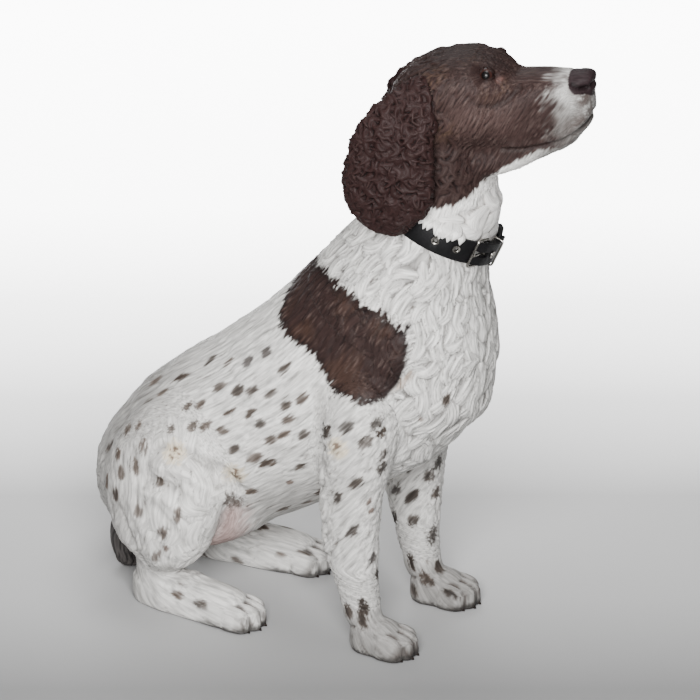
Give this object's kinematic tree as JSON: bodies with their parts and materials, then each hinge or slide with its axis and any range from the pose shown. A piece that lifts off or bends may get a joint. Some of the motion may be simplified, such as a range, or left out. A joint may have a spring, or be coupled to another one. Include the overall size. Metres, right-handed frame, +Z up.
{
  "type": "seated dog sculpture",
  "caption": "Life-size seated spaniel figure in hollow painted resin castings with hanging ears, glass eyes and a buckled collar, for display on a floor.",
  "frame": {"origin": "on the floor, under the middle of the dog's bounding box", "axes": "+X the way the chest faces, +Y to the dog's left, +Z up"},
  "size_m": [0.5328, 0.2364, 0.6402],
  "materials": {
    "white_coat": "hand-painted satin over cast resin",
    "brown_coat": "hand-painted satin over cast resin",
    "dark_tail": "hand-painted satin over cast resin",
    "eye_glass": "polished",
    "black_leather": "semi-gloss",
    "nickel": "polished",
    "steel": "mill finish",
    "wood": "bare",
    "card": "bare",
    "glass_fibre": "bare laminate",
    "rubber": "matt"
  },
  "bodies": {
    "figure": {"body_left_shell": "white_coat", "body_right_shell": "white_coat", "buckle_frame": "nickel", "collar_strap": "black_leather", "ear_dowel_left": "wood", "ear_dowel_right": "wood", "ear_left": "brown_coat", "ear_right": "brown_coat", "eye_left": "eye_glass", "eye_right": "eye_glass", "eyelet_1": "nickel", "eyelet_2": "nickel", "eyelet_3": "nickel", "eyelet_4": "nickel", "foreleg_bar_left": "steel", "foreleg_bar_right": "steel", "foreleg_left": "white_coat", "foreleg_right": "white_coat", "head_casting": "brown_coat", "hind_bar_left": "steel", "hind_bar_right": "steel", "hind_leg_left": "white_coat", "hind_leg_right": "white_coat", "neck_sleeve": "card", "pad_front_left": "rubber", "pad_front_right": "rubber", "pad_hind_left": "rubber", "pad_hind_right": "rubber", "seam_tape": "glass_fibre", "tail": "dark_tail", "tail_dowel": "wood"},
    "prong": {"buckle_prong": "nickel"},
    "keeper": {"keeper_loop": "nickel"}
  },
  "joints": [
    {"name": "prong_turn", "type": "hinge", "parent": "figure", "child": "prong", "pos_m": [0.16384, -0.014, 0.43255], "axis": [0.3746, 0.1928, 0.9069], "range_deg": [0, 60]},
    {"name": "keeper_slide", "type": "slide", "parent": "figure", "child": "keeper", "axis": [-0.0969, 0.9809, -0.1685], "range_m": [-0.003, 0.003]}
  ]
}
